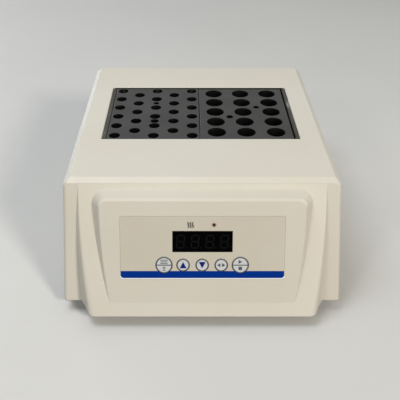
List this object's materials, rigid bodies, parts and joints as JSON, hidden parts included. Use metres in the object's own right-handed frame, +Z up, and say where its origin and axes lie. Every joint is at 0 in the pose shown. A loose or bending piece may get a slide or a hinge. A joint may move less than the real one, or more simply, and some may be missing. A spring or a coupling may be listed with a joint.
{
  "type": "dry block heater",
  "caption": "Bench dry block heater: a moulded housing with a sloped key panel and display, and lift-out drilled aluminium blocks that warm sample tubes.",
  "frame": {"origin": "on the bench, under the middle of the unit's box", "axes": "+X to the right seen from the front, +Y to the back, +Z up"},
  "size_m": [0.2078, 0.264, 0.095],
  "materials": {
    "ivory_plastic": "moulded, fine texture",
    "overlay_film": "printed polyester film",
    "smoked_window": "smoked acrylic",
    "key_film": "satin key cap",
    "lamp_red": "dark red lens",
    "lamp_clear": "frosted light pipe",
    "led_black": "display module",
    "led_segment": "unlit segment",
    "anodised_block": "hard anodised, dark grey",
    "well_sheet": "heat-tinted sheet",
    "bare_aluminium": "milled",
    "heater_silicone": "red-brown silicone",
    "glass_wool": "pressed fibre",
    "zinc_sheet": "zinc-plated sheet",
    "zinc_screw": "zinc-plated",
    "foot_rubber": "moulded rubber",
    "board_green": "solder mask",
    "black_plastic": "moulded, satin",
    "part_blue": "relay case",
    "terminal_green": "terminal housing",
    "core_steel": "lacquered laminations",
    "can_sleeve": "shrink sleeve",
    "tin_metal": "tinned brass",
    "ribbon_grey": "flat cable",
    "wire_blue": "insulated wire",
    "wire_earth": "earth wire",
    "wire_white": "glass-sleeved wire",
    "fuse_glass": "glass and nickel caps"
  },
  "bodies": {
    "unit": {"housing": "ivory_plastic", "base_pan": "zinc_sheet", "rubber_feet": "foot_rubber", "foot_screws": "zinc_screw", "foot_nuts": "zinc_screw", "base_screws": "zinc_screw", "well_tray": "well_sheet", "tray_screws": "zinc_screw", "heater_plate": "bare_aluminium", "plate_screws": "zinc_screw", "heater_mat": "heater_silicone", "thermal_cutout": "black_plastic", "temperature_probe": "tin_metal", "insulation_jacket": "glass_wool", "cradle": "zinc_sheet", "cradle_screws": "zinc_screw", "panel_overlay": "overlay_film", "display_window": "smoked_window", "display_module": "led_black", "display_segments": "led_segment", "display_board": "board_green", "display_board_screws": "zinc_screw", "key_switches": "black_plastic", "alarm_lamp": "lamp_red", "heat_lamp": "lamp_clear", "display_header": "black_plastic", "control_board": "board_green", "board_standoffs": "tin_metal", "board_screws": "zinc_screw", "transformer": "core_steel", "relay": "part_blue", "heat_sink": "bare_aluminium", "triac": "black_plastic", "capacitors": "can_sleeve", "terminal_block": "terminal_green", "controller_chip": "black_plastic", "ribbon_cable": "ribbon_grey", "control_header": "black_plastic", "power_inlet": "black_plastic", "inlet_pins": "tin_metal", "inlet_screws": "zinc_screw", "inlet_nuts": "zinc_screw", "rocker_frame": "black_plastic", "rocker_terminals": "tin_metal", "mains_wires": "wire_blue", "earth_wire": "wire_earth", "earth_stud": "zinc_screw", "heater_leads": "wire_white", "probe_lead": "wire_white"},
    "key_set": {"key_set": "key_film"},
    "key_up": {"key_up": "key_film"},
    "key_down": {"key_down": "key_film"},
    "key_shift": {"key_shift": "key_film"},
    "key_start": {"key_start": "key_film"},
    "power_rocker": {"power_rocker": "black_plastic"},
    "fuse_drawer": {"fuse_drawer": "black_plastic", "fuses": "fuse_glass"},
    "block_left": {"block_left": "anodised_block"},
    "block_right": {"block_right": "anodised_block"}
  },
  "joints": [
    {"name": "key_set_press", "type": "slide", "parent": "unit", "child": "key_set", "axis": [0, 0.9078, -0.4195], "range_m": [0, 0.0004], "stiffness_N_per_m": 1500, "springref_m": -0.0002},
    {"name": "key_up_press", "type": "slide", "parent": "unit", "child": "key_up", "axis": [0, 0.9078, -0.4195], "range_m": [0, 0.0004], "stiffness_N_per_m": 1500, "springref_m": -0.0002},
    {"name": "key_down_press", "type": "slide", "parent": "unit", "child": "key_down", "axis": [0, 0.9078, -0.4195], "range_m": [0, 0.0004], "stiffness_N_per_m": 1500, "springref_m": -0.0002},
    {"name": "key_shift_press", "type": "slide", "parent": "unit", "child": "key_shift", "axis": [0, 0.9078, -0.4195], "range_m": [0, 0.0004], "stiffness_N_per_m": 1500, "springref_m": -0.0002},
    {"name": "key_start_press", "type": "slide", "parent": "unit", "child": "key_start", "axis": [0, 0.9078, -0.4195], "range_m": [0, 0.0004], "stiffness_N_per_m": 1500, "springref_m": -0.0002},
    {"name": "rocker_tip", "type": "hinge", "parent": "unit", "child": "power_rocker", "pos_m": [0.032, 0.124, 0.042], "axis": [-1, 0, 0], "range_deg": [0, 20]},
    {"name": "drawer_pull", "type": "slide", "parent": "unit", "child": "fuse_drawer", "axis": [0, 1, 0], "range_m": [0, 0.024]},
    {"name": "block_left_lift", "type": "slide", "parent": "unit", "child": "block_left", "axis": [0, 0, 1], "range_m": [0, 0.06]},
    {"name": "block_right_lift", "type": "slide", "parent": "unit", "child": "block_right", "axis": [0, 0, 1], "range_m": [0, 0.06]}
  ]
}
